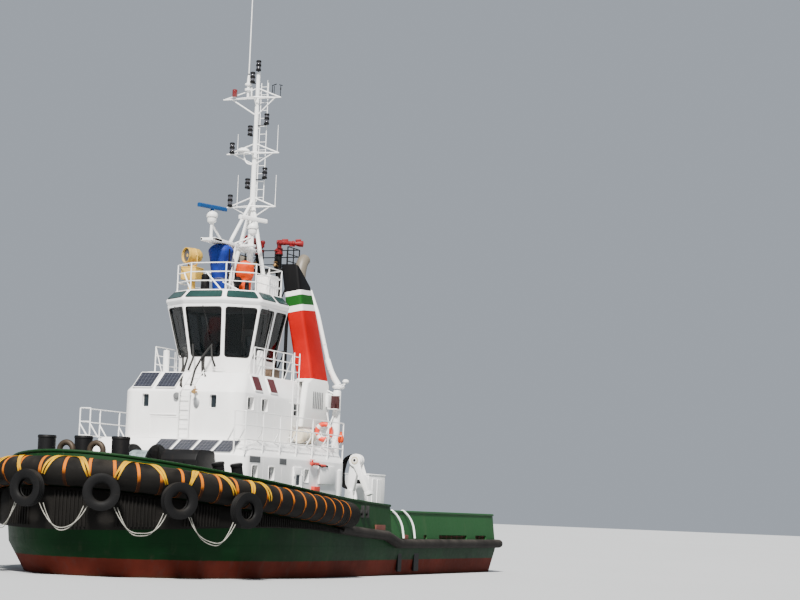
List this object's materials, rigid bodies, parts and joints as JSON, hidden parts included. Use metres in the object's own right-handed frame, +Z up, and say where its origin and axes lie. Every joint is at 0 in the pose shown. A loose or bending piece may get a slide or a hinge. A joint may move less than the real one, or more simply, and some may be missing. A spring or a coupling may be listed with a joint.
{
  "type": "tugboat",
  "caption": "Harbour tug with fendered hull, bow tyres, stepped deckhouse, glazed wheelhouse, leaning striped funnels, mast, fire monitors, towing winch, crane and azimuth thrusters.",
  "frame": {"origin": "on the boat's centre line, at the waterline, 12.6 m aft of the stem's top", "axes": "+X forward, +Y to port, +Z up"},
  "size_m": [29.9, 12.213, 31.53],
  "materials": {
    "hull_green": "semi-gloss ship's paint",
    "house_white": "semi-gloss ship's paint",
    "gear_black": "semi-matt deck paint",
    "funnel_red": "semi-gloss paint with green, white and black bands",
    "monitor_red": "semi-gloss paint",
    "gear_yellow": "semi-gloss paint",
    "drum_grey": "worn paint",
    "console_grey": "matt",
    "thruster_steel": "antifouling paint",
    "propeller_bronze": "polished",
    "fender_rubber": "matt",
    "wheelhouse_glass": "tinted",
    "seat_black": "satin",
    "cover_blue": "coated cloth",
    "cover_orange": "coated cloth",
    "radar_blue": "gloss",
    "radar_white": "gloss",
    "canister_cream": "satin"
  },
  "bodies": {
    "ship": {"hull": "hull_green", "bow_bulwark": "hull_green", "stern_bulwark": "hull_green", "bow_fender": "fender_rubber", "block_fender": "fender_rubber", "belting": "fender_rubber", "bow_tyres": "fender_rubber", "lower_deckhouse": "house_white", "upper_deckhouse": "house_white", "wheelhouse_walls": "house_white", "wheelhouse_glass": "wheelhouse_glass", "wheelhouse_roof": "house_white", "bridge_console": "console_grey", "helm_chair": "seat_black", "house_rails": "house_white", "bridge_rails_port": "house_white", "bridge_rails_starboard": "house_white", "roof_rails": "house_white", "searchlight_base": "gear_yellow", "covered_compass_blue": "cover_blue", "covered_light_orange": "cover_orange", "roof_locker": "house_white", "funnel_port": "funnel_red", "funnel_starboard": "funnel_red", "monitor_platform": "gear_black", "mast": "house_white", "life_raft_port": "canister_cream", "life_raft_starboard": "canister_cream", "towing_staple": "gear_black", "bow_bitts_port": "gear_black", "bow_bitts_starboard": "gear_black", "winch_frame": "gear_black", "winch_cover": "gear_black", "crane_pedestal": "house_white", "deck_cabinet": "house_white", "deck_hatch": "gear_black", "capstan_base": "gear_black", "tow_hook_stand": "gear_black", "stern_bitts_port": "gear_black", "stern_bitts_starboard": "gear_black"},
    "door_port": {"deckhouse_door_port": "house_white"},
    "door_starboard": {"deckhouse_door_starboard": "house_white"},
    "bridge_door": {"wheelhouse_door": "house_white"},
    "searchlight": {"searchlight": "gear_yellow"},
    "radar_forward": {"radar_scanner_forward": "radar_blue"},
    "radar_aft": {"radar_scanner_aft": "radar_white"},
    "turret_port": {"monitor_turret_port": "monitor_red"},
    "barrel_port": {"monitor_barrel_port": "monitor_red"},
    "turret_starboard": {"monitor_turret_starboard": "monitor_red"},
    "barrel_starboard": {"monitor_barrel_starboard": "monitor_red"},
    "winch_drum": {"winch_drum": "drum_grey"},
    "crane_column": {"crane_column": "house_white"},
    "crane_boom": {"crane_boom": "house_white"},
    "crane_jib": {"crane_jib": "house_white"},
    "capstan_head": {"capstan_head": "gear_black"},
    "tow_hook": {"tow_hook": "monitor_red"},
    "thruster_port": {"thruster_port": "thruster_steel"},
    "propeller_port": {"propeller_port": "propeller_bronze"},
    "thruster_starboard": {"thruster_starboard": "thruster_steel"},
    "propeller_starboard": {"propeller_starboard": "propeller_bronze"}
  },
  "joints": [
    {"name": "door_port_swing", "type": "hinge", "parent": "ship", "child": "door_port", "pos_m": [2.1, 3.521, 3], "axis": [0, 0, -1], "range_deg": [0, 100]},
    {"name": "door_starboard_swing", "type": "hinge", "parent": "ship", "child": "door_starboard", "pos_m": [2.1, -3.521, 3], "axis": [0, 0, 1], "range_deg": [0, 100]},
    {"name": "bridge_door_swing", "type": "hinge", "parent": "ship", "child": "bridge_door", "pos_m": [-0.811, 0.4, 8.3], "axis": [0, 0, -1], "range_deg": [0, 90]},
    {"name": "searchlight_pan", "type": "hinge", "parent": "ship", "child": "searchlight", "pos_m": [1.9, -1.25, 11.44], "axis": [0, 0, 1], "range_deg": [-170, 170]},
    {"name": "radar_forward_turn", "type": "hinge", "parent": "ship", "child": "radar_forward", "pos_m": [2.85, 0, 13.43], "axis": [0, 0, 1], "continuous": true},
    {"name": "radar_aft_turn", "type": "hinge", "parent": "ship", "child": "radar_aft", "pos_m": [1.04, 0.8, 13.23], "axis": [0, 0, 1], "continuous": true},
    {"name": "monitor_port_pan", "type": "hinge", "parent": "ship", "child": "turret_port", "pos_m": [-2, 0.45, 12.43], "axis": [0, 0, 1], "range_deg": [-125, 60]},
    {"name": "monitor_port_elevate", "type": "hinge", "parent": "turret_port", "child": "barrel_port", "pos_m": [-2, 0.45, 12.9], "axis": [0.8192, 0.5736, 0], "range_deg": [-3, 75]},
    {"name": "monitor_starboard_pan", "type": "hinge", "parent": "ship", "child": "turret_starboard", "pos_m": [-2, -0.45, 12.43], "axis": [0, 0, 1], "range_deg": [-165, 10]},
    {"name": "monitor_starboard_elevate", "type": "hinge", "parent": "turret_starboard", "child": "barrel_starboard", "pos_m": [-2, -0.45, 12.9], "axis": [-0.1736, -0.9848, 0], "range_deg": [-3, 75]},
    {"name": "winch_drum_turn", "type": "hinge", "parent": "ship", "child": "winch_drum", "pos_m": [7.2, 0.175, 3.6], "axis": [0, 1, 0], "continuous": true},
    {"name": "crane_slew", "type": "hinge", "parent": "ship", "child": "crane_column", "pos_m": [-4.75, 2.75, 2.3], "axis": [0, 0, 1], "range_deg": [-170, 170]},
    {"name": "crane_luff", "type": "hinge", "parent": "crane_column", "child": "crane_boom", "pos_m": [-4.75, 2.75, 3.2], "axis": [1, 0, 0], "range_deg": [-45, 0]},
    {"name": "crane_fold", "type": "hinge", "parent": "crane_boom", "child": "crane_jib", "pos_m": [-4.75, 2.95, 4.45], "axis": [1, 0, 0], "range_deg": [0, 140]},
    {"name": "capstan_turn", "type": "hinge", "parent": "ship", "child": "capstan_head", "pos_m": [-12.4, 0, 1.74], "axis": [0, 0, 1], "continuous": true},
    {"name": "tow_hook_swing", "type": "hinge", "parent": "ship", "child": "tow_hook", "pos_m": [-7.9, 0, 2.1], "axis": [0, 0, 1], "range_deg": [-60, 60]},
    {"name": "thruster_port_steer", "type": "hinge", "parent": "ship", "child": "thruster_port", "pos_m": [-11.3, 2.35, -2], "axis": [0, 0, 1], "continuous": true},
    {"name": "propeller_port_turn", "type": "hinge", "parent": "thruster_port", "child": "propeller_port", "pos_m": [-11.92, 2.35, -3.55], "axis": [1, 0, 0], "continuous": true},
    {"name": "thruster_starboard_steer", "type": "hinge", "parent": "ship", "child": "thruster_starboard", "pos_m": [-11.3, -2.35, -2], "axis": [0, 0, 1], "continuous": true},
    {"name": "propeller_starboard_turn", "type": "hinge", "parent": "thruster_starboard", "child": "propeller_starboard", "pos_m": [-11.92, -2.35, -3.55], "axis": [1, 0, 0], "continuous": true}
  ]
}
